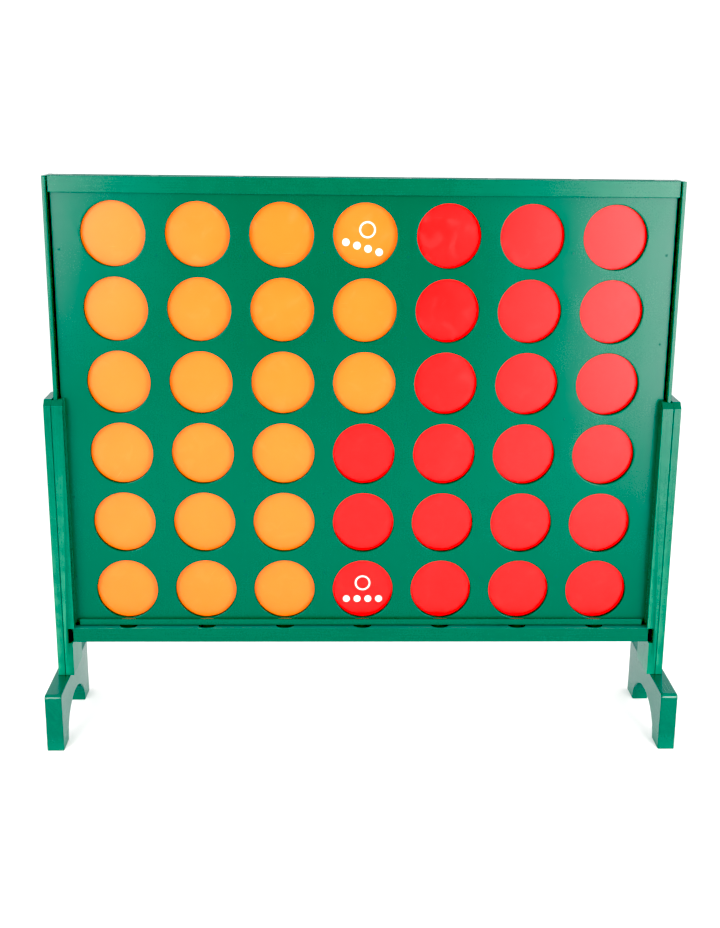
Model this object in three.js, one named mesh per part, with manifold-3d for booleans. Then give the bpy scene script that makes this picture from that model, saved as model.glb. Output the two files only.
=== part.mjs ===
// A lawn-sized four in a row: an upright board of seven columns and six rows of round windows, held
// between two grooved posts on arched feet, with a pull-out release plank under the columns.
//
// Millimetres, +Z up. X runs along the board, -Y is the side the player faces, and the origin is
// on the ground in the middle of the footprint. Every piece is a separate closed solid.

import * as THREE from 'three';
import { mergeVertices } from 'three/addons/utils/BufferGeometryUtils.js';
import Module from 'manifold-3d';

const wasm = await Module();
wasm.setup();

// ---- driving dimensions -------------------------------------------------------------------

const COLUMNS = 7;
const ROWS = 6;
const COLUMN_PITCH = 151.5;
const FIT = 0.25; // gap left between pieces that are glued, screwed or resting together

const BOARD = { bottom: 210, top: 1056 };
const PANEL = { inner: 7, thickness: 12, halfWidth: 564 };
const WINDOW = { radius: 58.2, firstZ: 280, pitch: 135, segments: 24 };
const TRIM = {
  thickness: 9, stripHeight: 29, stripHalf: 565.5,
  battenHeight: 11.5, battenHalf: 550.5, endBevel: 3,
};
const DIVIDER = { halfWidth: 7, halfDepth: PANEL.inner - FIT };
const RAIL = { stemInner: 523.25, flangeInner: 566.25, outer: 573.25, halfDepth: 36 };

const DISC = { radius: 67.5, thickness: 12, pitch: 135.2, segments: 24 };
const PLANK = {
  halfLength: 560, halfDepth: 40, bottom: 179.3, thickness: 28,
  tongueEnd: 568, tongueHalfDepth: 20,
  holeRadius: 17.3, holeY: -20, holeSegments: 20,
};

const FOOT = {
  inner: 567.9, outer: 600, halfLength: 149, height: 113,
  cornerRadius: 8, archHalf: 94, archHeight: 63, archSegments: 20,
};
const POST = {
  inner: 556, lowerInner: 560.5, outer: 591, halfDepth: 47, top: 656, topBevel: 11,
  sill: 179, notchTop: 208.6, notchOuter: 568.7, floor: 209.7,
  cavityInner: 565.5, cavityOuter: 577, cavityHalfDepth: 37, passHalfDepth: 19.7,
  lineInner: 575.6, lineWidth: 2, lineDepth: 2.5,
};

// ---- finishes -----------------------------------------------------------------------------

const finish = (color, roughness) =>
  new THREE.MeshStandardMaterial({ color, roughness, metalness: 0 });
const GREEN_PAINT = finish(0x0b8a66, 0.35);
const ORANGE_GLOSS = finish(0xf7a03c, 0.3);
const RED_GLOSS = finish(0xe0322c, 0.3);

// ---- geometry helpers ---------------------------------------------------------------------

/** An axis-aligned block between two corners. */
function block([x0, x1], [y0, y1], [z0, z1]) {
  const size = [x1 - x0, y1 - y0, z1 - z0];
  return new THREE.BoxGeometry(...size).translate((x0 + x1) / 2, (y0 + y1) / 2, (z0 + z1) / 2);
}

/** An outline, with holes, pushed along the third of three axes from start to end. */
function prism(outline, holes, [u, v, w], start, end) {
  const shape = new THREE.Shape(outline.map(([a, b]) => new THREE.Vector2(a, b)));
  shape.holes = holes.map((ring) => new THREE.Path(ring.map(([a, b]) => new THREE.Vector2(a, b))));
  const solid = new THREE.ExtrudeGeometry(shape, { depth: end - start, bevelEnabled: false });
  const axis = { x: [1, 0, 0], y: [0, 1, 0], z: [0, 0, 1], '-y': [0, -1, 0] };
  const basis = [u, v, w].map((name) => new THREE.Vector3(...axis[name]));
  return solid.translate(0, 0, start).applyMatrix4(new THREE.Matrix4().makeBasis(...basis));
}

/** The corners of a regular ring, starting straight above its centre. */
function ring(cx, cy, radius, segments) {
  return Array.from({ length: segments }, (_, i) => {
    const turn = (2 * Math.PI * i) / segments;
    return [cx + radius * Math.sin(turn), cy + radius * Math.cos(turn)];
  });
}

/** Points of an elliptical arc between two angles, in degrees. */
function arc(cx, cy, rx, ry, from, to, segments) {
  return Array.from({ length: segments + 1 }, (_, i) => {
    const turn = THREE.MathUtils.degToRad(from + ((to - from) * i) / segments);
    return [cx + rx * Math.cos(turn), cy + ry * Math.sin(turn)];
  });
}

/** A geometry as a manifold solid. */
function solidOf(geometry) {
  const bare = new THREE.BufferGeometry();
  bare.setAttribute('position', geometry.getAttribute('position'));
  bare.setIndex(geometry.getIndex());
  const merged = mergeVertices(bare, 1e-4);
  return new wasm.Manifold(new wasm.Mesh({
    numProp: 3,
    vertProperties: Float32Array.from(merged.getAttribute('position').array),
    triVerts: Uint32Array.from(merged.getIndex().array),
  }));
}

/** A manifold solid as a geometry with flat-shaded faces. */
function geometryOf(solid) {
  const mesh = solid.getMesh();
  const geometry = new THREE.BufferGeometry();
  geometry.setAttribute('position', new THREE.BufferAttribute(mesh.vertProperties.slice(), 3));
  geometry.setIndex(new THREE.BufferAttribute(mesh.triVerts.slice(), 1));
  const flat = geometry.toNonIndexed();
  flat.computeVertexNormals();
  return flat;
}

/** One solid from a first geometry, with others joined on and others cut away. */
function carve(base, joined, cut) {
  let solid = solidOf(base);
  for (const piece of joined) solid = solid.add(solidOf(piece));
  for (const piece of cut) solid = solid.subtract(solidOf(piece));
  return geometryOf(solid);
}

/** The same span on the left (-1) or the right (+1) of the board. */
const onSide = (side, near, far) => (side < 0 ? [-far, -near] : [near, far]);

/** A named piece. */
function piece(name, geometry, material) {
  const mesh = new THREE.Mesh(geometry, material);
  mesh.name = name;
  return mesh;
}

const columnX = (column) => (column - (COLUMNS - 1) / 2) * COLUMN_PITCH;

// ---- the board ----------------------------------------------------------------------------

/** A panel with its round windows and the low batten glued along its foot. */
function panel(side) {
  const { bottom, top } = BOARD;
  const { halfWidth } = PANEL;
  const outline = [[-halfWidth, bottom], [halfWidth, bottom], [halfWidth, top], [-halfWidth, top]];
  const windows = [];
  for (let column = 0; column < COLUMNS; column += 1) {
    for (let row = 0; row < ROWS; row += 1) {
      const z = WINDOW.firstZ + row * WINDOW.pitch;
      windows.push(ring(columnX(column), z, WINDOW.radius, WINDOW.segments));
    }
  }
  const face = side * (PANEL.inner + PANEL.thickness);
  const [near, far] = side < 0 ? [face, -PANEL.inner] : [PANEL.inner, face];
  // an outline in x and z is pushed towards -Y, so that its faces stay outward
  const sheet = prism(outline, windows, ['x', 'z', '-y'], -far, -near);
  return carve(sheet, [batten(side, face)], []);
}

/** The low batten, its ends bevelled, sunk a millimetre into the panel it is glued to. */
function batten(side, face) {
  const { battenHalf, battenHeight, thickness, endBevel } = TRIM;
  const back = face - side;
  const front = face + side * thickness;
  const outline = [
    [-battenHalf, back], [battenHalf, back],
    [battenHalf, front - side * endBevel], [battenHalf - endBevel, front],
    [endBevel - battenHalf, front], [-battenHalf, front - side * endBevel],
  ];
  if (side < 0) outline.reverse();
  return prism(outline, [], ['x', 'y', 'z'], BOARD.bottom, BOARD.bottom + battenHeight);
}

/** The strip across the top of a panel. */
function topStrip(side) {
  const face = PANEL.inner + PANEL.thickness + FIT;
  const depth = side < 0 ? [-face - TRIM.thickness, -face] : [face, face + TRIM.thickness];
  const { stripHalf, stripHeight } = TRIM;
  return block([-stripHalf, stripHalf], depth, [BOARD.top - stripHeight, BOARD.top]);
}

/** A divider between two columns. */
function divider(index) {
  const x = columnX(index) + COLUMN_PITCH / 2;
  const { halfWidth, halfDepth } = DIVIDER;
  return block([x - halfWidth, x + halfWidth], [-halfDepth, halfDepth], [BOARD.bottom, BOARD.top]);
}

/** A T-shaped side rail: its stem lies between the panels and its flange runs in a post. */
function sideRail(side) {
  const { stemInner, flangeInner, outer, halfDepth } = RAIL;
  const stem = DIVIDER.halfDepth;
  const half = [
    [stemInner, -stem], [flangeInner, -stem], [flangeInner, -halfDepth], [outer, -halfDepth],
    [outer, halfDepth], [flangeInner, halfDepth], [flangeInner, stem], [stemInner, stem],
  ];
  const outline = side > 0 ? half : half.map(([x, y]) => [-x, y]).reverse();
  return prism(outline, [], ['x', 'y', 'z'], BOARD.bottom, BOARD.top);
}

// ---- discs and release plank --------------------------------------------------------------

/** A disc standing on edge in its column, on the plank or on the disc below. */
function disc(column, row) {
  const { radius, thickness, pitch, segments } = DISC;
  const rest = PLANK.bottom + PLANK.thickness + FIT + radius;
  const cylinder = new THREE.CylinderGeometry(radius, radius, thickness, segments);
  return cylinder.translate(columnX(column), 0, rest + row * pitch);
}

/** The colour of a disc: the left half of the board is orange, the right half red. */
function discFinish(column, row) {
  const middle = (COLUMNS - 1) / 2;
  if (column !== middle) return column < middle ? ORANGE_GLOSS : RED_GLOSS;
  return row < ROWS / 2 ? RED_GLOSS : ORANGE_GLOSS;
}

/** The plank that closes the columns, with a tongue at each end and a row of round holes. */
function releasePlank() {
  const { halfLength, halfDepth, bottom, thickness, tongueEnd, tongueHalfDepth } = PLANK;
  const end = [
    [halfLength, -halfDepth], [halfLength, -tongueHalfDepth], [tongueEnd, -tongueHalfDepth],
    [tongueEnd, tongueHalfDepth], [halfLength, tongueHalfDepth], [halfLength, halfDepth],
  ];
  const outline = [...end, ...end.map(([x, y]) => [-x, -y])];
  const holes = Array.from({ length: COLUMNS }, (_, column) =>
    ring(columnX(column), PLANK.holeY, PLANK.holeRadius, PLANK.holeSegments));
  return prism(outline, holes, ['x', 'y', 'z'], bottom, bottom + thickness);
}

// ---- posts and feet -----------------------------------------------------------------------

/** A foot: a plank on edge with rounded top corners and an arch under its middle. */
function foot(side) {
  const { inner, outer, halfLength, height, cornerRadius, archHalf, archHeight } = FOOT;
  const turn = halfLength - cornerRadius;
  const shoulder = height - cornerRadius;
  const outline = [
    [-halfLength, 0],
    ...arc(0, 0, archHalf, archHeight, 180, 0, FOOT.archSegments),
    [halfLength, 0],
    ...arc(turn, shoulder, cornerRadius, cornerRadius, 0, 90, 4),
    ...arc(-turn, shoulder, cornerRadius, cornerRadius, 90, 180, 4),
  ];
  const [near, far] = onSide(side, inner, outer);
  return prism(outline, [], ['y', 'z', 'x'], near, far);
}

/** A post: a web with two jaws that hold a side rail, notched for the release plank. */
function post(side) {
  const { halfDepth, top, topBevel, sill, notchTop, notchOuter, floor } = POST;
  const base = FOOT.height + FIT;
  const shoulder = top - topBevel;
  const outline = [
    [-halfDepth, base], [halfDepth, base], [halfDepth, shoulder],
    [halfDepth - topBevel, top], [topBevel - halfDepth, top], [-halfDepth, shoulder],
  ];
  const [near, far] = onSide(side, POST.inner, POST.outer);
  const through = [-halfDepth - 5, halfDepth + 5];
  const cavity = [-POST.cavityHalfDepth, POST.cavityHalfDepth];
  const cuts = [
    block(onSide(side, POST.inner - 5, POST.lowerInner), through, [base - 5, sill]),
    block(onSide(side, POST.inner - 5, notchOuter), through, [sill, notchTop]),
    block(onSide(side, POST.inner - 5, notchOuter), cavity, [notchTop - 1, floor + 1]),
    block(onSide(side, POST.cavityInner, POST.cavityOuter), cavity, [floor, top + 5]),
    block(onSide(side, POST.inner - 5, POST.cavityInner + 0.5),
      [-POST.passHalfDepth, POST.passHalfDepth], [notchTop - 1, top + 5]),
    ...[-1, 1].map((end) => {
      const face = onSide(end, halfDepth - POST.lineDepth, halfDepth + 5);
      return block(onSide(side, POST.lineInner, POST.lineInner + POST.lineWidth), face,
        [base - 5, top + 5]);
    }),
  ];
  return carve(prism(outline, [], ['y', 'z', 'x'], near, far), [], cuts);
}

// ---- assembly -----------------------------------------------------------------------------

function build() {
  const game = new THREE.Group();
  game.name = 'lawn_four_in_a_row';
  const add = (name, geometry, material = GREEN_PAINT) => game.add(piece(name, geometry, material));

  for (const [side, name] of [[-1, 'front'], [1, 'back']]) {
    add(`${name}_panel`, panel(side));
    add(`${name}_top_strip`, topStrip(side));
  }
  for (const [side, name] of [[-1, 'left'], [1, 'right']]) {
    add(`${name}_side_rail`, sideRail(side));
    add(`${name}_post`, post(side));
    add(`${name}_foot`, foot(side));
  }
  for (let index = 0; index < COLUMNS - 1; index += 1) {
    add(`column_divider_${index + 1}`, divider(index));
  }
  add('release_plank', releasePlank());
  for (let column = 0; column < COLUMNS; column += 1) {
    for (let row = 0; row < ROWS; row += 1) {
      add(`disc_c${column + 1}_r${row + 1}`, disc(column, row), discFinish(column, row));
    }
  }
  return game;
}

export default build();
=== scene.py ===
"""A lawn-sized four in a row: a windowed board between grooved posts, full of loose discs.

Metres, +Z up. X runs along the board, -Y is the player's side, and the origin is on the ground in
the middle of the footprint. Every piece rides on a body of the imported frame.
"""

import logging
import math
from collections.abc import Callable, Iterable, Mapping, Sequence
from dataclasses import dataclass, field
from enum import Enum

import bmesh
import bpy
from mathutils import Matrix, Vector


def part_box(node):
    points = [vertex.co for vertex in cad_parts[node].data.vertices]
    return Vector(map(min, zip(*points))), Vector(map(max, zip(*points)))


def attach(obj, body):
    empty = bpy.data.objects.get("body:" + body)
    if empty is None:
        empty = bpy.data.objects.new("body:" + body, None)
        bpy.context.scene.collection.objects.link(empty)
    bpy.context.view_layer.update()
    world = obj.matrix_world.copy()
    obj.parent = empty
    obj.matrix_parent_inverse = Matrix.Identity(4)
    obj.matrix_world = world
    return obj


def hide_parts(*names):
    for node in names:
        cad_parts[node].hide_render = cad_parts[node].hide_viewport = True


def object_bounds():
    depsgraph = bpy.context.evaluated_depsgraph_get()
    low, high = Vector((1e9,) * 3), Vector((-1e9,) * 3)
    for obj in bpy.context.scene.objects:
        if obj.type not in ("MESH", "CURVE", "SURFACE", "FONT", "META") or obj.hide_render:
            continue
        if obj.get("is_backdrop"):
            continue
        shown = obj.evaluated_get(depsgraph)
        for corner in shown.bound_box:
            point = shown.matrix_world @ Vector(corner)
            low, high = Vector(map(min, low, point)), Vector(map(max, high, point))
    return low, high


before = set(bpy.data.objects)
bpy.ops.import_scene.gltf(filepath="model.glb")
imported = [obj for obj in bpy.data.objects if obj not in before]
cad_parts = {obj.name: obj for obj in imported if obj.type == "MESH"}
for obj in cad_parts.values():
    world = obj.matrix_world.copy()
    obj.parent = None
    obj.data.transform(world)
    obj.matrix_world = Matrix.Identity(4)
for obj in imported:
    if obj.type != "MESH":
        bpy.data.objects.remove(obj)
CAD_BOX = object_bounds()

LOG = logging.getLogger("lawn_four_in_a_row")
MM = 0.001
WELD = 0.01 * MM
QUARTER_TURN = math.pi / 2

Colour = tuple[float, float, float]
Point2 = tuple[float, float]
Point3 = tuple[float, float, float]
Material = bpy.types.Material
Mesh = bpy.types.Mesh
Socket = bpy.types.NodeSocket
Solid = bmesh.types.BMesh
Edge = bmesh.types.BMEdge
Share = Callable[[Edge], float]


class Body(Enum):
    """The bodies of the woodwork; each disc is a body of its own."""

    STAND = "stand"
    BOARD = "board"
    PLANK = "release_plank"


class Slot(Enum):
    """The record's material slots."""

    GREEN = "green_paint"
    ORANGE = "orange_disc"
    RED = "red_disc"


class Side(Enum):
    """One of two opposite sides, as its sign along an axis."""

    @property
    def word(self) -> str:
        """Its name, as the names of nodes and pieces have it."""
        return self.name.lower()


class Hand(Side):
    """The left or right end of the board, along X."""

    LEFT = -1
    RIGHT = 1


class Face(Side):
    """The player's side of the board or the far one, along Y."""

    FRONT = -1
    BACK = 1


class Axis(Enum):
    """An axis of the frame, as its place in a vector."""

    X = 0
    Y = 1
    Z = 2


# The two axes of an outline and the one that it is pushed along.
UPWARDS = (Axis.X, Axis.Y, Axis.Z)
SIDEWAYS = (Axis.Y, Axis.Z, Axis.X)


# ---- node trees ----------------------------------------------------------------------------


def operator(operation: str, reflected: bool = False) -> Callable[..., "Wire"]:
    """Makes a method of Wire that adds a Math node.

    Args:
        operation: The node's operation.
        reflected: Whether the wire comes second, after a number on its left.

    Returns:
        The method, which takes the other wires or numbers.
    """

    def method(wire: "Wire", *others: "Wire | float") -> "Wire":
        """The result of the operation."""
        values = (*others, wire) if reflected else (wire, *others)
        return wire.graph.math(operation, *values)

    return method


class Wire:
    """A node's output. Arithmetic on it adds the matching Math nodes."""

    def __init__(self, graph: "Graph", socket: Socket) -> None:
        """Wraps an output socket of a tree."""
        self.graph = graph
        self.socket = socket

    __add__, __radd__ = operator("ADD"), operator("ADD", reflected=True)
    __sub__, __rsub__ = operator("SUBTRACT"), operator("SUBTRACT", reflected=True)
    __mul__, __rmul__ = operator("MULTIPLY"), operator("MULTIPLY", reflected=True)
    __truediv__, __pow__, __abs__ = operator("DIVIDE"), operator("POWER"), operator("ABSOLUTE")
    sine, cosine = operator("SINE"), operator("COSINE")
    least, most = operator("MINIMUM"), operator("MAXIMUM")
    above = operator("GREATER_THAN")

    def held(self) -> "Wire":
        """The value, held between 0 and 1."""
        settings = {"operation": "MULTIPLY", "use_clamp": True}
        return self.graph.node("ShaderNodeMath", settings, {0: self, 1: 1.0})


class Graph:
    """A node tree being built, for a material or for Geometry Nodes."""

    def __init__(self, tree: bpy.types.NodeTree) -> None:
        """Wraps an empty tree."""
        self.tree = tree

    def node(
        self,
        kind: str,
        settings: Mapping[str, object] | None = None,
        values: Mapping[str | int, object] | None = None,
        out: str | int = 0,
    ) -> Wire:
        """Adds a node.

        Args:
            kind: The node's type.
            settings: Its properties, which are set first.
            values: Numbers, colours or wires for its inputs, by identifier, name or index.
            out: The identifier, name or index of the output that is wanted.

        Returns:
            The wanted output.
        """
        made = self.tree.nodes.new(kind)
        for name, value in (settings or {}).items():
            setattr(made, name, value)
        for key, value in (values or {}).items():
            self.feed(self.find(made.inputs, key), value)
        return Wire(self, self.find(made.outputs, out))

    @staticmethod
    def find(sockets: Iterable[Socket], key: str | int) -> Socket:
        """Finds a socket.

        Args:
            sockets: A node's inputs or outputs.
            key: An identifier, a name or an index.

        Returns:
            The socket.
        """
        if isinstance(key, str):
            for socket in sockets:
                if socket.identifier == key:
                    return socket
        return sockets[key]

    def feed(self, socket: Socket, value: object) -> None:
        """Gives an input its value, or links the wires that are meant for it.

        Args:
            socket: The input.
            value: A wire, a list of wires for an input that takes several, or a plain value.
        """
        if isinstance(value, Wire):
            self.tree.links.new(value.socket, socket)
        elif isinstance(value, list):
            for wire in reversed(value):
                self.tree.links.new(wire.socket, socket)
        elif socket.type == "RGBA":
            socket.default_value = (*value, 1.0)
        else:
            socket.default_value = value

    def math(self, operation: str, *values: Wire | float) -> Wire:
        """The result of a Math node, given its inputs in order."""
        return self.node("ShaderNodeMath", {"operation": operation}, dict(enumerate(values)))

    def vector(self, operation: str, *values: Wire | Point3) -> Wire:
        """The result of a Vector Math node, given its inputs in order."""
        settings = {"operation": operation}
        return self.node("ShaderNodeVectorMath", settings, dict(enumerate(values)))

    def parts(self, vector: Wire) -> tuple[Wire, Wire, Wire]:
        """The three components of a vector."""
        split = self.node("ShaderNodeSeparateXYZ", values={0: vector}).socket.node
        return tuple(Wire(self, socket) for socket in split.outputs)

    def joined(self, x: Wire | float, y: Wire | float, z: Wire | float) -> Wire:
        """A vector from its three components."""
        return self.node("ShaderNodeCombineXYZ", values={0: x, 1: y, 2: z})

    def end(self, kind: str, socket: str, wire: Wire) -> None:
        """Ends the tree in an output node."""
        self.feed(self.tree.nodes.new(kind).inputs[socket], wire)


class Shading(Graph):
    """A material's tree, with the patterns that the finishes share."""

    def __init__(self, name: str) -> None:
        """Starts a material.

        Args:
            name: The material's name.
        """
        self.material = bpy.data.materials.new(name)
        self.material.use_nodes = True
        super().__init__(self.material.node_tree)
        self.tree.nodes.clear()
        self.point = self.node("ShaderNodeTexCoord", out="Object")

    def noise(
        self,
        scale: float | Point3,
        detail: float = 2.0,
        roughness: float = 0.5,
        distortion: float = 0.0,
        at: Wire | None = None,
    ) -> Wire:
        """Adds a noise pattern.

        Args:
            scale: Waves per metre, the same all ways or one number for each axis.
            detail: Octaves of finer noise.
            roughness: How strong the finer noise is.
            distortion: How much the pattern bends.
            at: Where it is read, if not at the piece's own coordinates.

        Returns:
            The noise, about 0.5 on average.
        """
        point = at or self.point
        if isinstance(scale, tuple):
            point, scale = self.vector("MULTIPLY", point, scale), 1.0
        values = {
            "Vector": point, "Scale": scale, "Detail": detail,
            "Roughness": roughness, "Distortion": distortion,
        }
        return self.node("ShaderNodeTexNoise", values=values)

    def turned(self, angle: float) -> Wire:
        """The piece's coordinates, turned about Y by an angle in radians."""
        values = {"Vector": self.point, "Angle": angle}
        return self.node("ShaderNodeVectorRotate", {"rotation_type": "Y_AXIS"}, values)

    def cells(self, scale: float) -> Wire:
        """The distance to the nearest of scattered points, in spacings, for so many a metre."""
        return self.node("ShaderNodeTexVoronoi", values={"Vector": self.point, "Scale": scale})

    def mix(self, share: Wire | float, first: Wire | Colour, second: Wire | Colour) -> Wire:
        """The mix of two colours; the share, from 0 to 1, is the second one's."""
        values = {"Factor_Float": share, "A_Color": first, "B_Color": second}
        return self.node("ShaderNodeMix", {"data_type": "RGBA"}, values, "Result_Color")

    def pointed_edge_mask(self, start: float, gain: float) -> Wire:
        """A noisy mask of the sharpest edges, which begins at a pointiness and grows by a gain."""
        pointed = self.node("ShaderNodeNewGeometry", out="Pointiness")
        return ((pointed - start) * gain * self.noise(45.0, 3.0)).held()

    def close(self, colour: Wire, roughness: Wire, height_mm: Wire, gloss: float) -> Material:
        """Ends the tree.

        Args:
            colour: The base colour.
            roughness: The roughness.
            height_mm: The relief, in millimetres.
            gloss: The specular level.

        Returns:
            The material.
        """
        normal = self.node(
            "ShaderNodeBump", values={"Strength": 1.0, "Distance": MM, "Height": height_mm}
        )
        surface = self.node("ShaderNodeBsdfPrincipled", values={
            "Base Color": colour, "Roughness": roughness, "Normal": normal,
            "Specular IOR Level": gloss,
        })
        self.end("ShaderNodeOutputMaterial", "Surface", surface)
        return self.material


# ---- finishes ------------------------------------------------------------------------------


@dataclass(frozen=True)
class PaintedTimber:
    """Satin green paint with the wood's grain showing through it.

    Attributes:
        name: The material's name.
        grain: The way the grain runs.
        relief: How strongly the grain shows, from 0 on faced sheet to 1 on planed softwood.
        deep: The paint where it lies thick, in the pores.
        plain: The paint on the flat.
        rubbed_and_highlit: The paler paint on edges and low down: rubbed wear and scuffs, and on the
            roundings a painted highlight too.
        scraped: Painted reflection, the paler paint on upward faces.
        painted_wall_shade: Painted shade, the dark colour of a sheet's cut edges and window walls.
        roughness: The paint's roughness on the flat.
        gloss: The paint's specular level.
        cut_edge_texture_and_shade: How far a sheet's sawn edges are roughened and darkened with
            painted shade, from 0 to 1.
        scraped_top: How strongly the upward faces are painted paler, from 0 to 1.
    """

    name: str
    grain: Axis
    relief: float
    deep: Colour = (0.0, 0.057, 0.024)
    plain: Colour = (0.0, 0.079, 0.033)
    rubbed_and_highlit: Colour = (0.07, 0.24, 0.14)
    scraped: Colour = (0.13, 0.24, 0.18)
    painted_wall_shade: Colour = (0.0, 0.020, 0.008)
    roughness: float = 0.27
    gloss: float = 0.37
    cut_edge_texture_and_shade: float = 0.0
    scraped_top: float = 0.0

    def along(self, across: float, along: float) -> Point3:
        """Waves per metre on each axis, fewer along the grain."""
        scale = [across, across, across]
        scale[self.grain.value] = along
        return tuple(scale)

    def material(self) -> Material:
        """Builds the paint.

        Returns:
            The material.
        """
        g = Shading(self.name)
        figure = g.noise(self.along(34.0, 1.6), 2.0, 0.45, 0.35)
        bands = (figure * 70.0).sine() * 0.5 + 0.5
        fibre = g.noise(self.along(620.0, 14.0), 3.0, 0.6)
        mottle = g.noise(5.0, 3.0, 0.55)
        peel = g.noise(420.0, 2.0, 0.5)
        brush = g.noise((330.0, 60.0, 16.0), 2.0, 0.55, at=g.turned(0.6))
        nibs = ((0.07 - g.cells(38.0)) * 18.0).held()
        pointed_edges = g.pointed_edge_mask(0.53, 9.0)
        low = g.parts(g.point)[2]
        scuffed = ((0.035 - low) * 30.0 * g.noise(60.0, 4.0, 0.65)).held()

        grain = (bands * 0.35 + fibre * 0.65 - 0.5) * self.relief
        tone = (
            mottle * 0.5 + 0.12 + grain * 1.1 + (brush - 0.5) * self.relief * 0.8 - nibs * 0.2
        ).held()
        colour = g.mix(tone, self.deep, self.plain)
        # The paler edge colour is partly rubbed wear and partly a painted highlight on the rounded
        # edges, such as the windows' rims; low down it marks scuffs.
        colour = g.mix(pointed_edges * 0.55 + scuffed * 0.3, colour, self.rubbed_and_highlit)
        _, facing, upward = g.parts(g.node("ShaderNodeNewGeometry", out="Normal"))
        # Painted shade: the faces across the sheet, its cut edges and window walls, are darkened to
        # stand for the shadow inside the windows; they are also made rougher.
        sawn = ((0.25 - abs(facing)) * 8.0).held() * self.cut_edge_texture_and_shade
        # Painted reflection: upward faces, the plank's top, are painted paler to stand for the pale
        # reflection on them; they are also made rougher.
        scraped = ((upward - 0.6) * 4.0).held() * self.scraped_top * (mottle * 0.6 + 0.5)
        # Painted shade on the cut edges and window walls.
        colour = g.mix(sawn, colour, self.painted_wall_shade)
        colour = g.mix(scraped.held(), colour, self.scraped)
        roughness = (
            self.roughness + (mottle - 0.5) * 0.10 + (fibre - 0.5) * 0.10 * self.relief
            + pointed_edges * 0.03 + scuffed * 0.18 + sawn * 0.30 + scraped * 0.15 + (peel - 0.5) * 0.05
        )
        height = (
            fibre * 0.055 * self.relief + bands * 0.030 * self.relief
            + brush * 0.050 * self.relief + fibre * sawn * 0.060
            + peel * 0.010 + mottle * 0.35 + nibs * 0.03
        )
        return g.close(colour, roughness, height, self.gloss)


@dataclass(frozen=True)
class PrintedMark:
    """A plain white print: a ring above four dots in a row.

    Attributes:
        centre: The middle of the disc's face, in X and Z.
        tilt: How far the disc has rolled, in radians.
        crisp: How crisp the print's edges are, per metre.
        depth: The place along Y that the print is nearer to the player than.
    """

    centre: Point2
    tilt: float = 0.0
    ring_up: float = 0.0140
    ring_radius: float = 0.0135
    ring_width: float = 0.0036
    dots_down: float = 0.0185
    dot_pitch: float = 0.0210
    dot_radius: float = 0.0070
    dots: int = 4
    crisp: float = 2600.0
    depth: float = -0.004

    def mask(self, g: Shading) -> Wire:
        """Adds the print's mask to a disc's finish.

        Args:
            g: The finish's tree.

        Returns:
            1 on the print and 0 elsewhere.
        """
        x, y, z = g.parts(g.point)
        x, z = x - self.centre[0], z - self.centre[1]
        cos, sin = math.cos(self.tilt), math.sin(self.tilt)
        across, up = x * cos + z * sin, z * cos - x * sin

        def distance(a: Wire, b: Wire) -> Wire:
            """The length of a flat vector."""
            return (a * a + b * b) ** 0.5

        ring = abs(distance(across, up - self.ring_up) - self.ring_radius)
        printed = ((self.ring_width / 2 - ring) * self.crisp).held()
        for index in range(self.dots):
            place = (index - (self.dots - 1) / 2) * self.dot_pitch
            dot = distance(across - place, up + self.dots_down)
            printed = printed.most(((self.dot_radius - dot) * self.crisp).held())
        return printed * (self.depth - y).above(0.0)


@dataclass(frozen=True)
class GlossDisc:
    """Glossy coloured disc, a little smudged and scratched in play.

    Attributes:
        name: The material's name.
        deep: The darker tone.
        plain: The colour on the flat.
        scuffed: The colour of scratches and of the rubbed rim.
        mark: A print on the front face, if it has one.
        roughness: The roughness on the flat.
        gloss: The specular level.
        white: The print's colour.
    """

    name: str
    deep: Colour
    plain: Colour
    scuffed: Colour
    mark: PrintedMark | None = None
    roughness: float = 0.30
    gloss: float = 0.29
    white: Colour = (0.80, 0.56, 0.50)

    def material(self) -> Material:
        """Builds the disc's finish.

        Returns:
            The material.
        """
        g = Shading(self.name)
        mottle = g.noise(16.0, 3.0, 0.6)
        smudge = ((g.noise(27.0, 2.0, 0.5, 1.2) - 0.56) * 5.0).held()
        peel = g.noise(520.0, 2.0)
        scratches = self.scratches(g, (18.0, 18.0, 950.0), 0.0)
        scratches = scratches.most(self.scratches(g, (22.0, 22.0, 1200.0), 0.9))
        pointed_edges = g.pointed_edge_mask(0.525, 8.0)

        colour = g.mix((mottle * 0.7 + 0.25).held(), self.deep, self.plain)
        colour = g.mix(scratches * 0.35 + pointed_edges * 0.30 + smudge * 0.05, colour, self.scuffed)
        roughness = (
            self.roughness + (mottle - 0.5) * 0.08 + smudge * 0.10
            + scratches * 0.20 + pointed_edges * 0.15 + (peel - 0.5) * 0.04
        )
        height = mottle * 0.22 + peel * 0.006 - scratches * 0.012
        if self.mark:
            printed = self.mark.mask(g)
            colour = g.mix(printed, colour, self.white)
            roughness = roughness + printed * 0.12
            height = height + printed * 0.03
        return g.close(colour, roughness, height, self.gloss)

    @staticmethod
    def scratches(g: Shading, scale: Point3, turn: float) -> Wire:
        """Adds fine, short scratches that run one way.

        Args:
            g: The finish's tree.
            scale: Waves per metre on each axis.
            turn: The way they run, in radians from level.

        Returns:
            The mask.
        """
        lines = ((g.noise(scale, 1.0, at=g.turned(turn)) - 0.71) * 14.0).held()
        patches = ((g.noise(31.0, 1.0) - 0.5) * 6.0).held()
        return lines * patches


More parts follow.
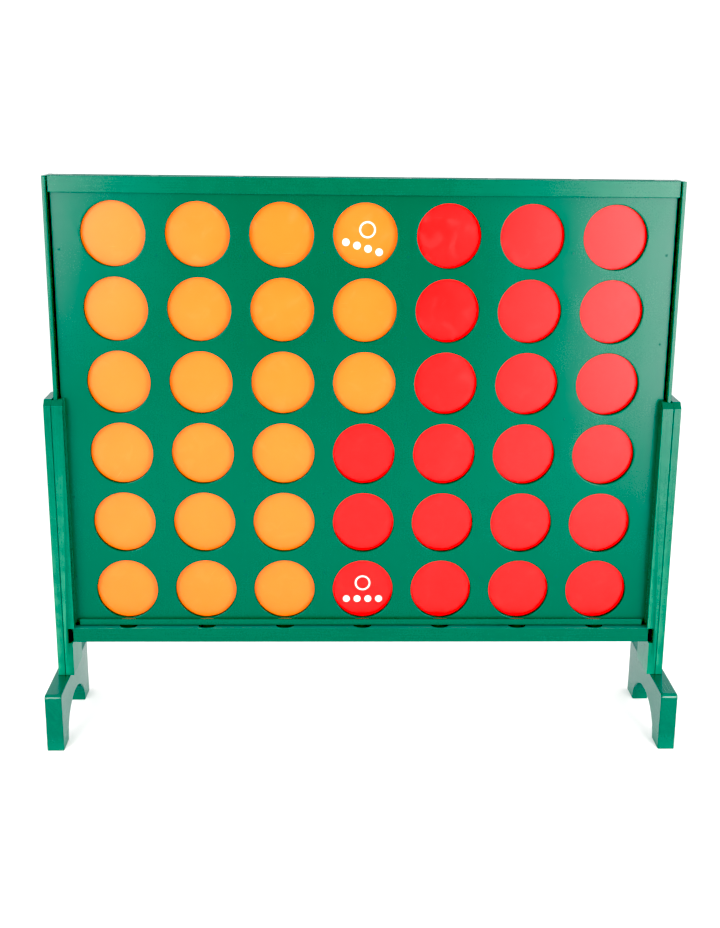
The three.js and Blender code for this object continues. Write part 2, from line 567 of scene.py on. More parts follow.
@dataclass(frozen=True)
class PaleFloor:
    """Plain pale studio floor."""

    name: str = "pale_studio_floor"
    low: Colour = (0.90, 0.90, 0.90)
    high: Colour = (0.93, 0.93, 0.93)
    roughness: float = 0.75
    gloss: float = 0.2

    def material(self) -> Material:
        """Builds the floor's finish.

        Returns:
            The material.
        """
        g = Shading(self.name)
        cloud = g.noise(0.9, 2.0)
        colour = g.mix(cloud, self.low, self.high)
        return g.close(colour, self.roughness + cloud * 0.1, g.noise(300.0) * 0.01, self.gloss)


# ---- mesh work -----------------------------------------------------------------------------


def linked(name: str, data: bpy.types.ID) -> bpy.types.Object:
    """Puts a mesh, a light or a camera in the scene."""
    made = bpy.data.objects.new(name, data)
    bpy.context.scene.collection.objects.link(made)
    return made


class Joinery:
    """The cuts, roundings and fixings that the pieces share.

    Attributes:
        CORNER: The least angle between two faces that is rounded.
        CREASE: The least angle between two faces that is shaded as an edge.
        FLAT: The angle up to which two faces are one flat one.
    """

    CORNER = math.radians(25)
    CREASE = math.radians(50)
    FLAT = math.radians(0.5)

    @staticmethod
    def prism(
        outline: Sequence[Point2], axes: tuple[Axis, Axis, Axis], start: float, end: float
    ) -> Solid:
        """Pushes an outline along an axis.

        Args:
            outline: The corners in order, in the first two axes.
            axes: The outline's two axes and the one it is pushed along.
            start: Where the push starts.
            end: Where it ends.

        Returns:
            The solid, its faces outwards.
        """
        bm = bmesh.new()

        def corner(point: Point2, depth: float) -> bmesh.types.BMVert:
            """A corner of the solid."""
            place = [0.0, 0.0, 0.0]
            for axis, value in zip(axes, (*point, depth), strict=True):
                place[axis.value] = value
            return bm.verts.new(place)

        near = [corner(point, start) for point in outline]
        far = [corner(point, end) for point in outline]
        bm.faces.new(near)
        bm.faces.new(far)
        for i, first in enumerate(near):
            j = (i + 1) % len(near)
            bm.faces.new((first, near[j], far[j], far[i]))
        bmesh.ops.recalc_face_normals(bm, faces=bm.faces)
        return bm

    @classmethod
    def block(cls, low: Point3, high: Point3) -> Solid:
        """A block between its lowest and highest corners."""
        outline = [(low[0], low[1]), (high[0], low[1]), (high[0], high[1]), (low[0], high[1])]
        return cls.prism(outline, UPWARDS, low[2], high[2])

    @staticmethod
    def temporary(bm: Solid) -> bpy.types.Object:
        """Puts a working solid in the scene, for a modifier to use."""
        mesh = bpy.data.meshes.new("working")
        bm.to_mesh(mesh)
        bm.free()
        return linked("working", mesh)

    @staticmethod
    def baked(worked: bpy.types.Object) -> Mesh:
        """The mesh of a working object with its modifiers applied; the object is removed."""
        depsgraph = bpy.context.evaluated_depsgraph_get()
        evaluated = worked.evaluated_get(depsgraph)
        mesh = bpy.data.meshes.new_from_object(evaluated, depsgraph=depsgraph)
        bpy.data.objects.remove(worked)
        return mesh

    @staticmethod
    def welded(mesh: Mesh) -> Solid:
        """A mesh opened for work, with its doubles merged."""
        bm = bmesh.new()
        bm.from_mesh(mesh)
        bmesh.ops.remove_doubles(bm, verts=bm.verts, dist=WELD)
        return bm

    @classmethod
    def carved(cls, solid: Solid, cutters: Iterable[Solid]) -> Solid:
        """Cuts solids out of a solid.

        Args:
            solid: What is cut.
            cutters: What is cut away.

        Returns:
            The rest, with its flat faces whole.
        """
        worked = cls.temporary(solid)
        tools = [cls.temporary(cutter) for cutter in cutters]
        for tool in tools:
            cut = worked.modifiers.new("cut", "BOOLEAN")
            cut.operation, cut.solver, cut.object = "DIFFERENCE", "EXACT", tool
        mesh = cls.baked(worked)
        for tool in tools:
            bpy.data.objects.remove(tool)
        bm = cls.welded(mesh)
        bpy.data.meshes.remove(mesh)
        bmesh.ops.dissolve_limit(bm, angle_limit=cls.FLAT, verts=bm.verts, edges=bm.edges)
        bmesh.ops.recalc_face_normals(bm, faces=bm.faces)
        return bm

    @classmethod
    def softened(cls, bm: Solid, radius: float, share: Share, segments: int) -> Mesh:
        """Rounds the edges of a solid.

        Args:
            bm: The solid.
            radius: The rounding.
            share: The part of the rounding that an edge gets.
            segments: Faces across the rounding.

        Returns:
            The rounded mesh.
        """
        layer = bm.edges.layers.float.new("bevel_weight_edge")
        for edge in bm.edges:
            if edge.calc_face_angle(0.0) > cls.CORNER:
                edge[layer] = share(edge)
        worked = cls.temporary(bm)
        bevel = worked.modifiers.new("rounding", "BEVEL")
        bevel.limit_method, bevel.width, bevel.segments = "WEIGHT", radius, segments
        return cls.shaded(cls.baked(worked))

    @classmethod
    def shaded(cls, mesh: Mesh) -> Mesh:
        """Merges doubles, turns faces outwards and shades flats flat and roundings round."""
        bm = cls.welded(mesh)
        bmesh.ops.recalc_face_normals(bm, faces=bm.faces)
        for face in bm.faces:
            face.smooth = True
        bm.to_mesh(mesh)
        bm.free()
        mesh.set_sharp_from_angle(angle=cls.CREASE)
        worked = linked("working", mesh)
        worked.modifiers.new("flats", "WEIGHTED_NORMAL").keep_sharp = True
        return cls.baked(worked)

    @staticmethod
    def fitted(name: str, mesh: Mesh, body: str, slot: Slot, replaced: Sequence[str]) -> None:
        """Puts a finished piece on its body.

        Args:
            name: The piece's name.
            mesh: Its mesh, in place and with its material.
            body: The body that it rides on.
            slot: The record's slot that its finish comes from; not used.
            replaced: The frame's nodes that it stands for.
        """
        mesh.name = name
        piece = linked(name, mesh)
        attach(piece, body)
        if replaced:
            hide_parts(*replaced)
        LOG.info("%-24s %6d faces, on %s", name, len(mesh.polygons), body)


class Recipe(Graph):
    """A Geometry Nodes tree with named inputs, run once for each piece that it makes.

    Attributes:
        KINDS: The socket that takes an input of each Python type.
        STEPS: The steps round each rounded edge.
    """

    STEPS = 4
    KINDS = {
        float: "NodeSocketFloat", int: "NodeSocketInt", tuple: "NodeSocketVector",
        Material: "NodeSocketMaterial",
    }

    def __init__(self, name: str, **inputs: type) -> None:
        """Starts a tree.

        Args:
            name: The tree's name.
            **inputs: The name and the Python type of each input.
        """
        super().__init__(bpy.data.node_groups.new(name, "GeometryNodeTree"))
        new_socket = self.tree.interface.new_socket
        self.identifiers = {
            key: new_socket(key, in_out="INPUT", socket_type=self.KINDS[kind]).identifier
            for key, kind in inputs.items()
        }
        new_socket("Geometry", in_out="OUTPUT", socket_type="NodeSocketGeometry")
        self.given = self.tree.nodes.new("NodeGroupInput")

    def __getitem__(self, key: str) -> Wire:
        """The input of that name."""
        return Wire(self, self.find(self.given.outputs, self.identifiers[key]))

    def rounding(self, half: Wire, radius: Wire) -> tuple[Wire, Wire]:
        """Works out a rounded edge, point by point, from one face to the other.

        Args:
            half: Half the thickness.
            radius: The rounding of each edge.

        Returns:
            For each point, its height through the thickness and its inset from the wall.
        """
        index = self.step("InputIndex")
        last = 2 * self.STEPS + 1
        turn = index.least(last - index) * (QUARTER_TURN / self.STEPS)
        sign = index.above(self.STEPS + 0.5) * 2.0 - 1.0
        return sign * (half - radius + radius * turn.cosine()), radius * (1.0 - turn.sine())

    def step(
        self, kind: str, settings: Mapping[str, object] | None = None, **inputs: object
    ) -> Wire:
        """Adds a geometry node. An underscore in an input's name stands for a space."""
        values = {name.replace("_", " "): value for name, value in inputs.items()}
        return self.node(f"GeometryNode{kind}", settings, values)

    def drawn(self, x: Wire | float, y: Wire) -> Wire:
        """A curve with the points of a rounded edge, each at its own X and Y."""
        line = self.step("MeshLine", Count=2 * self.STEPS + 2)
        shaped = self.step("SetPosition", Geometry=line, Position=self.joined(x, y, 0.0))
        return self.step("MeshToCurve", Mesh=shaped)

    def circle(self, sides: Wire, radius: Wire | float) -> Wire:
        """A flat circle."""
        mode = {"mode": "RADIUS"}
        return self.step("CurvePrimitiveCircle", mode, Resolution=sides, Radius=radius)

    def grid(self) -> Wire:
        """A flat grid of points, with the columns, the rows and the pitches of the inputs."""
        columns, rows = self["columns"], self["rows"]
        return self.step(
            "MeshGrid", Vertices_X=columns, Vertices_Y=rows,
            Size_X=(columns - 1.0) * self["column_pitch"], Size_Y=(rows - 1.0) * self["row_pitch"],
        )

    def close(self, geometry: Wire) -> None:
        """Ends the tree in Realize Instances and Set Material."""
        real = self.step("RealizeInstances", Geometry=geometry)
        painted = self.step("SetMaterial", Geometry=real, Material=self["finish"])
        self.end("NodeGroupOutput", "Geometry", painted)

    def made(self, **values: object) -> Mesh:
        """Runs the tree.

        Args:
            **values: The value of each input.

        Returns:
            The mesh, shaded, with its material.
        """
        worked = linked("working", bpy.data.meshes.new("working"))
        modifier = worked.modifiers.new("recipe", "NODES")
        modifier.node_group = self.tree
        for key, identifier in self.identifiers.items():
            modifier[identifier] = values[key]
        return Joinery.shaded(Joinery.baked(worked))


class PiercedBoard(Recipe):
    """A flat board with a grid of round holes and every edge rounded.

    Attributes:
        CORNER_STEPS: The steps round each corner of the outline.
        CORNER_SIZE: The corners' rounding, as a multiple of the edges'.
    """

    CORNER_STEPS = 5
    CORNER_SIZE = 1.6

    def __init__(self) -> None:
        """Builds the tree."""
        super().__init__(
            "pierced_board", width=float, height=float, thickness=float, edge=float,
            hole_radius=float, hole_sides=int, columns=int, rows=int, column_pitch=float,
            row_pitch=float, holes_centre=tuple, place=tuple, turn=tuple,
            finish=Material,
        )
        paths = self.step("JoinGeometry", Geometry=[self.outline(), self.holes()])
        half = self["thickness"] * 0.5
        rise, inset = self.rounding(half, self["edge"])
        edge = self.drawn(inset * -1.0, rise)
        wall = self.step("CurveToMesh", Curve=paths, Profile_Curve=edge)
        whole = self.step("JoinGeometry", Geometry=[wall, *self.faces(wall, half)])
        merged = self.step("MergeByDistance", Geometry=whole, Distance=WELD)
        place, turn = self["place"], self["turn"]
        self.close(self.step("Transform", Geometry=merged, Translation=place, Rotation=turn))

    def outline(self) -> Wire:
        """The board's outline, its corners rounded a little more than its edges."""
        width, height = self["width"], self["height"]
        sheet = self.step("CurvePrimitiveQuadrilateral", Width=width, Height=height)
        count, radius = self.CORNER_STEPS, self["edge"] * self.CORNER_SIZE
        return self.step("FilletCurve", {"mode": "POLY"}, Curve=sheet, Count=count, Radius=radius)

    def holes(self) -> Wire:
        """The holes' rims, which run the other way round from the outline."""
        points = self.step("SetPosition", Geometry=self.grid(), Offset=self["holes_centre"])
        circle = self.circle(self["hole_sides"], self["hole_radius"])
        rim = self.step("ReverseCurve", Curve=circle)
        rims = self.step("InstanceOnPoints", Points=points, Instance=rim)
        return self.step("RealizeInstances", Geometry=rims)

    def faces(self, wall: Wire, half: Wire) -> list[Wire]:
        """The two flat faces, filled in between the edges of the wall."""
        height = self.parts(self.step("InputPosition"))[2]
        upper_rim = (1.5 - self.step("InputMeshEdgeNeighbors")).above(0.0) * height.above(0.0)
        rims = self.step("MeshToCurve", Mesh=wall, Selection=upper_rim)
        filled = self.step("FillCurve", {"mode": "TRIANGLES"}, Curve=rims)
        moves = [self.joined(0.0, 0.0, half * sign) for sign in (-1.0, 1.0)]
        return [self.step("Transform", Geometry=filled, Translation=move) for move in moves]


class TurnedDisc(Recipe):
    """A flat round disc standing on edge, its two rims rounded."""

    def __init__(self) -> None:
        """Builds the tree."""
        super().__init__(
            "turned_disc", radius=float, thickness=float, edge=float, sides=int,
            place=tuple, finish=Material,
        )
        rise, inset = self.rounding(self["thickness"] * 0.5, self["edge"])
        axle, rim = self.drawn(0.0, rise), self.circle(self["sides"], 1.0)
        solid = self.step(
            "CurveToMesh", Curve=axle, Profile_Curve=rim, Scale=self["radius"] - inset,
            Fill_Caps=True,
        )
        self.close(self.step("Transform", Geometry=solid, Translation=self["place"]))


class FilledNails(Recipe):
    """Nail heads filled and painted over, in rows on an upright face.

    Attributes:
        SIDES: The faces round a head.
        RINGS: The faces over it.
        STRAY: How much of the scatter a head gets along the row and up the line.
    """

    SIDES, RINGS = 12, 6
    STRAY = (0.3, 1.0)

    def __init__(self) -> None:
        """Builds the tree."""
        super().__init__(
            "filled_nails", columns=int, rows=int, column_pitch=float, row_pitch=float,
            radius=float, proud=float, scatter=float, seed=int, place=tuple,
            finish=Material,
        )
        upright = self.step(
            "Transform", Geometry=self.grid(), Rotation=(QUARTER_TURN, 0.0, 0.0),
            Translation=self["place"],
        )
        along, up = (
            self.node("FunctionNodeRandomValue", {"data_type": "FLOAT"}, {
                "Min_001": self["scatter"] * -share, "Max_001": self["scatter"] * share,
                "Seed": self["seed"] + float(draw),
            }, "Value_001")
            for draw, share in enumerate(self.STRAY)
        )
        points = self.step("SetPosition", Geometry=upright, Offset=self.joined(along, 0.0, up))
        head = self.step(
            "MeshUVSphere", Segments=self.SIDES, Rings=self.RINGS, Radius=self["radius"]
        )
        flat = self.joined(1.0, self["proud"] / self["radius"], 1.0)
        self.close(self.step("InstanceOnPoints", Points=points, Instance=head, Scale=flat))


# ---- the game ------------------------------------------------------------------------------


class Paint(Enum):
    """The green paint as it lies on each kind of timber, and a darker copy of it as painted shade on
    the nail heads.
    """

    # The sheet's cut edges and window walls carry painted shade.
    SHEET = PaintedTimber("green_sheet", Axis.Z, 0.12, cut_edge_texture_and_shade=0.85)
    LEVEL = PaintedTimber("green_level_timber", Axis.X, 0.4)
    # The plank's upper faces carry a painted reflection.
    PLANK = PaintedTimber("green_plank_timber", Axis.X, 0.4, scraped_top=0.8)
    UPRIGHT = PaintedTimber("green_upright_timber", Axis.Z, 0.9)
    FOOT = PaintedTimber("green_foot_timber", Axis.Y, 1.2, roughness=0.24, gloss=0.6)
    # Painted shade: the nail heads get a darker copy of the paint, standing in for the shade of
    # their dimples.
    NAIL_SHADE = PaintedTimber(
        "green_nail_painted_shade", Axis.Z, 0.3, deep=(0.0, 0.030, 0.014), plain=(0.0, 0.060, 0.028),
        roughness=0.4,
    )


@dataclass
class Woodwork:
    """A green wooden part of the game, on one body.

    Attributes:
        paints: The mixed paints.
        body: The body that its pieces ride on.
    """

    paints: Mapping[Paint, Material]
    body: Body

    def fix(self, name: str, mesh: Mesh, *nodes: str) -> None:
        """Puts a piece on the body, in the place of the nodes that it stands for."""
        Joinery.fitted(name, mesh, self.body.value, Slot.GREEN, nodes)

    def finished(
        self, name: str, solid: Solid, rounding: float, paint: Paint, *nodes: str,
        share: Share = lambda edge: 1.0, segments: int = 3,
    ) -> None:
        """Rounds a solid's edges, paints it and puts it on the body.

        Args:
            name: The piece's name.
            solid: Its shape, with sharp edges.
            rounding: The rounding of its edges.
            paint: Its paint.
            *nodes: The frame's nodes that it stands for.
            share: The part of the rounding that an edge gets.
            segments: Faces across the rounding.
        """
        mesh = Joinery.softened(solid, rounding, share, segments)
        mesh.materials.append(self.paints[paint])
        self.fix(name, mesh, *nodes)


@dataclass
class WindowedBoard(Woodwork):
    """Two windowed panels with dividers between them, held at each side by a T-shaped rail."""

    body: Body = Body.BOARD
    columns: int = 7
    rows: int = 6
    column_pitch: float = 0.1515
    row_pitch: float = 0.135
    first_window: float = 0.280
    window_radius: float = 0.0582
    window_sides: int = 72
    thickness: float = 0.012
    panel_edge: float = 0.0021
    batten_height: float = 0.0115
    batten_half: float = 0.5505
    batten_bevel: float = 0.003
    batten_rounding: float = 0.7 * MM
    strip_rounding: float = 1.2 * MM
    divider_rounding: float = 0.8 * MM
    rail_stem: float = 0.52325
    rail_flange: float = 0.56625
    rail_rounding: float = 1.1 * MM
    stem_half: float = 0.00675
    rail_nails: float = 0.5495
    nail_rows: int = 5
    nail_pitch: float = 0.1525
    nail_middle: float = 0.617
    nail_radius: float = 2.3 * MM
    nail_proud: float = 0.32 * MM
    nail_scatter: float = 9.0 * MM
    divider_nail_seed: int = 11
    rail_nail_seed: int = 23

    def build(self) -> None:
        """Builds the panels, their trim, the dividers, the rails and the nails."""
        pierced, nails = PiercedBoard(), FilledNails()
        for face in Face:
            self.panel(pierced, face)
            self.batten(face)
            node, name = f"{face.word}_top_strip", f"{face.word}_head_strip"
            self.slat(node, name, self.strip_rounding, Paint.LEVEL)
            self.nails(nails, face)
        for index in range(1, self.columns):
            node, name = f"column_divider_{index}", f"divider_slat_{index}"
            self.slat(node, name, self.divider_rounding, Paint.UPRIGHT)
        for hand in Hand:
            self.rail(hand)

    def inner_face(self, face: Face) -> float:
        """Where a panel's inner face lies, along Y."""
        low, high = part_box(f"{face.word}_panel")
        return high.y if face is Face.FRONT else low.y

    def panel(self, recipe: PiercedBoard, face: Face) -> None:
        """Makes a panel with its windows.

        Args:
            recipe: The board that is cut.
            face: The side it is on.
        """
        node = f"{face.word}_panel"
        low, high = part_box(node)
        middle = (low.z + high.z) / 2
        windows = self.first_window + (self.rows - 1) / 2 * self.row_pitch
        depth = self.inner_face(face) + face.value * self.thickness / 2
        mesh = recipe.made(
            width=high.x - low.x, height=high.z - low.z, thickness=self.thickness,
            edge=self.panel_edge, hole_radius=self.window_radius,
            hole_sides=self.window_sides, columns=self.columns, rows=self.rows,
            column_pitch=self.column_pitch, row_pitch=self.row_pitch,
            holes_centre=(0.0, windows - middle, 0.0), place=(0.0, depth, middle),
            turn=(QUARTER_TURN, 0.0, 0.0), finish=self.paints[Paint.SHEET],
        )
        self.fix(f"{face.word}_windowed_sheet", mesh, node)

    def batten(self, face: Face) -> None:
        """Makes the low batten along the foot of a panel, its ends bevelled."""
        low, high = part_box(f"{face.word}_panel")
        sheet = self.inner_face(face) + face.value * self.thickness
        front = low.y if face is Face.FRONT else high.y
        half, bevel = self.batten_half, self.batten_bevel
        outline = [
            (-half, sheet), (half, sheet), (half, front - face.value * bevel),
            (half - bevel, front), (bevel - half, front), (-half, front - face.value * bevel),
        ]
        solid = Joinery.prism(outline, UPWARDS, low.z, low.z + self.batten_height)
        self.finished(f"{face.word}_foot_batten", solid, self.batten_rounding, Paint.LEVEL)

    def slat(self, node: str, name: str, rounding: float, paint: Paint) -> None:
        """Makes a plain slat with rounded edges, in the place of a node."""
        self.finished(name, Joinery.block(*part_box(node)), rounding, paint, node)

    def rail(self, hand: Hand) -> None:
        """Makes a side rail: a stem between the panels and a flange that runs in a post."""
        node = f"{hand.word}_side_rail"
        low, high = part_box(node)
        outer = max(high.x, -low.x)
        stem, flange, deep, half = self.rail_stem, self.rail_flange, self.stem_half, high.y
        outline = [
            (stem, -deep), (flange, -deep), (flange, -half), (outer, -half),
            (outer, half), (flange, half), (flange, deep), (stem, deep),
        ]
        outline = [(x * hand.value, y) for x, y in outline]
        solid = Joinery.prism(outline, UPWARDS, low.z, high.z)
        name = f"{hand.word}_rail_timber"
        self.finished(name, solid, self.rail_rounding, Paint.UPRIGHT, node)

    def nails(self, recipe: FilledNails, face: Face) -> None:
        """Makes the filled nails of a panel, over the dividers and over the rails."""
        depth = self.inner_face(face) + face.value * self.thickness
        lines = {
            "divider": (self.columns - 1, self.column_pitch, self.divider_nail_seed),
            "rail": (len(Hand), 2 * self.rail_nails, self.rail_nail_seed),
        }
        for name, (columns, pitch, seed) in lines.items():
            mesh = recipe.made(
                columns=columns, rows=self.nail_rows, column_pitch=pitch,
                row_pitch=self.nail_pitch, radius=self.nail_radius, proud=self.nail_proud,
                scatter=self.nail_scatter, seed=seed, place=(0.0, depth, self.nail_middle),
                finish=self.paints[Paint.NAIL_SHADE],
            )
            self.fix(f"{face.word}_{name}_nails", mesh)


@dataclass
class Stand(Woodwork):
    """Two grooved posts on arched feet.

    Attributes:
        foot_ground: The part of a foot's rounding that its lowest edges get.
        reach: How far a cut runs on past the wood.
    """

    body: Body = Body.STAND
    web_inner: float = 0.5764
    web_face: float = 0.5776
    joint_depth: float = 0.0027
    jaw_lower_inner: float = 0.5605
    post_bevel: float = 0.011
    post_rounding: float = 1.0 * MM
    sill: float = 0.179
    notch_top: float = 0.2086
    notch_outer: float = 0.5687
    floor: float = 0.2097
    cavity_inner: float = 0.5655
    cavity_half: float = 0.037
    pass_half: float = 0.0197
    arch_half: float = 0.094
    arch_height: float = 0.063
    arch_steps: int = 40
    corner: float = 0.008
    corner_steps: int = 6
    foot_rounding: float = 3.4 * MM
    foot_ground: float = 0.3
    foot_segments: int = 4
    reach: float = 0.02

    def build(self) -> None:
        """Builds both posts and both feet."""
        for hand in Hand:
            self.post(hand)
            self.foot(hand)

    @staticmethod
    def span(hand: Hand, near: float, far: float) -> Point2:
        """The two places along X, from the lower to the higher, at one end of the board."""
        return (near, far) if hand is Hand.RIGHT else (-far, -near)

    def post_outline(self, low: Vector, high: Vector) -> list[Point2]:
        """A post from the side, in Y and Z, with its top corners bevelled."""
        half, shoulder = high.y, high.z - self.post_bevel
        return [
            (-half, low.z), (half, low.z), (half, shoulder), (half - self.post_bevel, high.z),
            (self.post_bevel - half, high.z), (-half, shoulder),
        ]

    def cut(self, hand: Hand, near: float, far: float, y: Point2, z: Point2) -> Solid:
        """A block to cut away at one end of the board, from its span on each axis."""
        x = self.span(hand, near, far)
        return Joinery.block((x[0], y[0], z[0]), (x[1], y[1], z[1]))

    def post(self, hand: Hand) -> None:
        """Makes a post: an outer board, rebated so that its joint shows, and the jaws on it.

        The two jaws are joined below the board, where the release plank's notch is.
        """
        node = f"{hand.word}_post"
        low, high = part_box(node)
        inner, outer = max(low.x, -high.x), max(high.x, -low.x)
        past = inner - self.reach
        before, beyond = self.web_inner - self.reach, self.web_inner + self.reach
        bottom, top = low.z - self.reach, high.z + self.reach
        half, side = high.y - self.joint_depth, high.y + self.reach
        cavity, way_in = (-self.cavity_half, self.cavity_half), (-self.pass_half, self.pass_half)
        notched = self.notch_top - MM
        web_cuts = [
            (before, self.web_face, (half, half + self.reach), (bottom, top)),
            (before, self.web_face, (-half - self.reach, -half), (bottom, top)),
        ]
        jaw_cuts = [
            (past, self.jaw_lower_inner, (-side, side), (bottom, self.sill)),
            (past, self.notch_outer, (-side, side), (self.sill, self.notch_top)),
            (past, self.notch_outer, cavity, (notched, self.floor)),
            (self.cavity_inner, beyond, cavity, (self.floor, top)),
            (past, self.cavity_inner + MM, way_in, (notched, top)),
        ]
        for piece, near, far, cuts, nodes in (
            ("web", self.web_inner, outer, web_cuts, [node]),
            ("jaws", inner, self.web_inner, jaw_cuts, []),
        ):
            outline = self.post_outline(low, high)
            solid = Joinery.prism(outline, SIDEWAYS, *self.span(hand, near, far))
            carved = Joinery.carved(solid, [self.cut(hand, *cut) for cut in cuts])
            self.finished(
                f"{hand.word}_post_{piece}", carved, self.post_rounding, Paint.UPRIGHT, *nodes,
                share=self.outside,
            )

    @staticmethod
    def outside(edge: Edge) -> float:
        """Rounds an edge that sticks out fully, and one that turns inwards not at all."""
        return 1.0 if edge.calc_face_angle_signed(0.0) > 0 else 0.0

    def foot(self, hand: Hand) -> None:
        """Makes a foot: a plank on edge with rounded top corners and an arch."""
        node = f"{hand.word}_foot"
        low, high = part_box(node)
        half, top = high.y, high.z
        outline = [(-half, 0.0)]
        outline += self.arc((0.0, 0.0), self.arch_half, self.arch_height, 180, 0, self.arch_steps)
        outline += [(half, 0.0)]
        for sign, start in ((1, 0), (-1, 90)):
            centre = (sign * (half - self.corner), top - self.corner)
            outline += self.arc(
                centre, self.corner, self.corner, start, start + 90, self.corner_steps
            )
        solid = Joinery.prism(outline, SIDEWAYS, low.x, high.x)

        def share(edge: Edge) -> float:
            """Rounds the edges over the ground fully and those on it slightly."""
            highest = max(vertex.co.z for vertex in edge.verts)
            return self.foot_ground if highest < MM else 1.0

        self.finished(
            f"{hand.word}_foot_timber", solid, self.foot_rounding, Paint.FOOT, node,
            share=share, segments=self.foot_segments,
        )

    @staticmethod
    def arc(
        centre: Point2, across: float, up: float, start: float, end: float, steps: int
    ) -> list[Point2]:
        """Points along an elliptical arc.

        Args:
            centre: Its centre.
            across: Its radius across.
            up: Its radius upwards.
            start: The angle it starts at, in degrees.
            end: The angle it ends at.
            steps: The steps between them.

        Returns:
            The points.
        """
        turns = [math.radians(start + (end - start) * i / steps) for i in range(steps + 1)]
        return [
            (centre[0] + across * math.cos(turn), centre[1] + up * math.sin(turn))
            for turn in turns
        ]


@dataclass
class ReleasePlank(Woodwork):
    """The plank that closes the columns: a row of drain holes and a tongue at each end."""

    body: Body = Body.PLANK
    half_length: float = 0.560
    tongue_half: float = 0.020
    tongue_sunk: float = 0.006
    holes: int = 7
    hole_pitch: float = 0.1515
    hole_radius: float = 0.0173
    hole_sides: int = 48
    hole_y: float = -0.020
    edge: float = 0.0010

    def build(self) -> None:
        """Builds the plank and its tongues."""
        low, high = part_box("release_plank")
        middle = (low + high) / 2
        mesh = PiercedBoard().made(
            width=2 * self.half_length, height=high.y - low.y, thickness=high.z - low.z,
            edge=self.edge, hole_radius=self.hole_radius, hole_sides=self.hole_sides,
            columns=self.holes, rows=1, column_pitch=self.hole_pitch, row_pitch=0.0,
            holes_centre=(0.0, self.hole_y, 0.0), place=tuple(middle), turn=(0.0, 0.0, 0.0),
            finish=self.paints[Paint.PLANK],
        )
        self.fix("release_plank_timber", mesh, "release_plank")
        inner = self.half_length - self.tongue_sunk
        for hand in Hand:
            start, end = sorted((hand.value * inner, hand.value * high.x))
            solid = Joinery.block((start, -self.tongue_half, low.z), (end, self.tongue_half, high.z))
            self.finished(f"{hand.word}_plank_tongue", solid, self.edge, Paint.PLANK)


@dataclass
class DiscSet:
    """The loose discs, column by column from the player's left and row by row from the bottom.

    Attributes:
        marked: How far each printed disc has rolled, in radians, by its column and row.
        tones: The deep, plain and scuffed tones of each colour.
    """

    columns: int = 7
    rows: int = 6
    sides: int = 96
    edge: float = 0.0016
    marked: Mapping[tuple[int, int], float] = field(
        default_factory=lambda: {(4, 1): 0.0, (4, 6): math.radians(-16)}
    )
    tones: Mapping[Slot, tuple[Colour, Colour, Colour]] = field(
        default_factory=lambda: {
            Slot.ORANGE: ((0.80, 0.120, 0.009), (0.90, 0.148, 0.015), (0.98, 0.34, 0.10)),
            Slot.RED: ((0.66, 0.003, 0.002), (0.80, 0.006, 0.004), (0.90, 0.08, 0.06)),
        }
    )

    def slot(self, column: int, row: int) -> Slot:
        """The colour of a disc: orange on the left half of the board and red on the right."""
        middle = (self.columns + 1) // 2
        if column != middle:
            return Slot.ORANGE if column < middle else Slot.RED
        return Slot.RED if row <= self.rows // 2 else Slot.ORANGE

    def finish(self, slot: Slot, mark: PrintedMark | None = None) -> Material:
        """The finish of a disc.

        Args:
            slot: Its colour.
            mark: The print on its face, if any.

        Returns:
            The material.
        """
        name = f"{slot.name.lower()}_gloss" + ("_marked" if mark else "")
        return GlossDisc(name, *self.tones[slot], mark=mark).material()

    def build(self) -> None:
        """Builds every disc."""
        turned = TurnedDisc()
        plain = {slot: self.finish(slot) for slot in (Slot.ORANGE, Slot.RED)}
        for column in range(1, self.columns + 1):
            for row in range(1, self.rows + 1):
                node = f"disc_c{column}_r{row}"
                low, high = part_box(node)
                middle, slot = (low + high) / 2, self.slot(column, row)
                finish = plain[slot]
                if (column, row) in self.marked:
                    tilt = self.marked[(column, row)]
                    finish = self.finish(slot, PrintedMark((middle.x, middle.z), tilt))
                mesh = turned.made(
                    radius=(high.z - low.z) / 2, thickness=high.y - low.y, edge=self.edge,
                    sides=self.sides, place=tuple(middle), finish=finish,
                )
                Joinery.fitted(f"playing_{node}", mesh, node, slot, [node])


# ---- the studio ----------------------------------------------------------------------------


@dataclass(frozen=True)
class SoftBox:
    """A large soft light.

    Attributes:
        name: Its name.
        place: Its centre.
        target: The point it faces.
        size: Its width and height.
        power: Its power, in watts.
    """

    name: str
    place: Point3
    target: Point3
    size: Point2
    power: float

    def build(self) -> None:
        """Hangs the light."""
        lamp = bpy.data.lights.new(self.name, "AREA")
        lamp.shape, lamp.energy = "RECTANGLE", self.power
        lamp.size, lamp.size_y = self.size
        hung = linked(self.name, lamp)
        hung.location = self.place
        aim = Vector(self.target) - Vector(self.place)
        hung.rotation_mode = "QUATERNION"
        hung.rotation_quaternion = aim.to_track_quat("-Z", "Y")


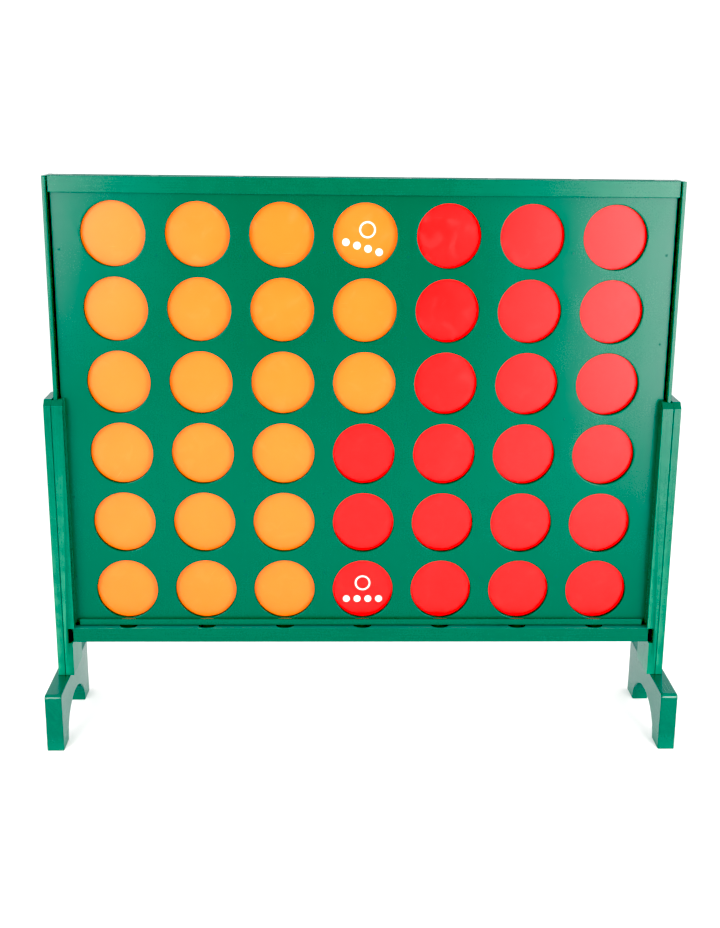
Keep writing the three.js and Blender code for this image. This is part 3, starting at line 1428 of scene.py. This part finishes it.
@dataclass
class Studio:
    """A pale floor, soft lights and the camera.

    Attributes:
        backdrop: The strength of the white backdrop.
        fill: The strength of the dim room past the player.
        dim_from: How far towards the player, from 0 to 1, the backdrop's faintest part is.
        dim_over: The stretch over which it brightens from there.
        black: How far each colour's blacks are deepened.
    """

    floor_radius: float = 3.4
    floor_sides: int = 96
    backdrop: float = 1.15
    fill: float = 0.30
    dim_from: float = 0.88
    dim_over: float = 0.28
    black: Colour = (0.12, 0.032, 0.028)
    camera_place: Point3 = (-0.0604, -2.649, 1.1879)
    yaw: float = math.radians(1.949)
    pitch: float = math.radians(17.061)
    roll: float = math.radians(-0.661)
    lens: float = 55.51
    sensor: float = 36.0
    shift: Point2 = (-0.0196, 0.0820)
    lights: Sequence[SoftBox] = (
        SoftBox("left_soft_box", (-1.52, -2.4, 1.3), (0.0, 0.0, 0.7), (1.3, 1.9), 92.0),
        SoftBox("right_soft_box", (1.42, -2.4, 1.1), (0.0, 0.0, 0.6), (1.25, 2.2), 100.0),
        SoftBox("top_soft_box", (0.0, 0.0, 7.0), (0.0, 0.0, 0.0), (14.0, 14.0), 260.0),
    )

    def build(self) -> None:
        """Sets the studio up."""
        self.floor()
        self.world()
        self.film()
        for light in self.lights:
            light.build()
        self.camera()

    def floor(self) -> None:
        """Lays the floor."""
        bm = bmesh.new()
        bmesh.ops.create_circle(
            bm, cap_ends=True, radius=self.floor_radius, segments=self.floor_sides
        )
        mesh = bpy.data.meshes.new("studio_floor")
        bm.to_mesh(mesh)
        bm.free()
        mesh.materials.append(PaleFloor().material())
        linked("studio_floor", mesh)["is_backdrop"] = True

    def world(self) -> None:
        """Puts a white backdrop behind and beside the game, with a dim room past the player.

        The camera sees the backdrop wherever it looks.
        """
        world = bpy.data.worlds.new("studio_backdrop")
        world.use_nodes = True
        g = Graph(world.node_tree)
        g.tree.nodes.clear()
        seen = g.node("ShaderNodeLightPath", out="Is Camera Ray")
        depth = g.parts(g.node("ShaderNodeTexCoord", out="Generated"))[1]
        lit = ((depth + self.dim_from) / self.dim_over).held()
        strength = self.fill + seen.most(lit) * (self.backdrop - self.fill)
        white = g.node(
            "ShaderNodeBackground", values={"Color": (1.0, 1.0, 1.0), "Strength": strength}
        )
        g.end("ShaderNodeOutputWorld", "Surface", white)
        bpy.context.scene.world = world

    def film(self) -> None:
        """Sets plain colours with deep blacks, deepest in red."""
        settings = bpy.context.scene.view_settings
        settings.view_transform, settings.use_curve_mapping = "Standard", True
        settings.curve_mapping.black_level = self.black

    def camera(self) -> None:
        """Places the camera."""
        cos_yaw, sin_yaw = math.cos(self.yaw), math.sin(self.yaw)
        cos_pitch, sin_pitch = math.cos(self.pitch), math.sin(self.pitch)
        forward = Vector((sin_yaw * cos_pitch, cos_yaw * cos_pitch, -sin_pitch))
        level = Vector((cos_yaw, -sin_yaw, 0.0))
        down = forward.cross(level)
        right = math.cos(self.roll) * level + math.sin(self.roll) * down
        under = math.cos(self.roll) * down - math.sin(self.roll) * level
        turn = Matrix((right, -under, -forward)).transposed()
        lens = bpy.data.cameras.new("camera")
        lens.lens, lens.sensor_width = self.lens, self.sensor
        lens.shift_x, lens.shift_y = self.shift
        camera = linked("camera", lens)
        camera.matrix_world = Matrix.Translation(self.camera_place) @ turn.to_4x4()
        bpy.context.scene.camera = camera


def write_sizes() -> None:
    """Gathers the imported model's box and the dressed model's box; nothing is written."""
    boxes = {"cad": CAD_BOX, "visual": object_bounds()}
    {name: [list(corner) for corner in box] for name, box in boxes.items()}


def main() -> None:
    """Builds the studio, then the game in it."""
    logging.basicConfig(level=logging.INFO, format="%(message)s")
    Studio().build()
    paints = {paint: paint.value.material() for paint in Paint}
    for assembly in (Stand(paints), WindowedBoard(paints), ReleasePlank(paints), DiscSet()):
        LOG.info("%s", type(assembly).__name__)
        assembly.build()
    write_sizes()


if __name__ == "__main__":
    main()
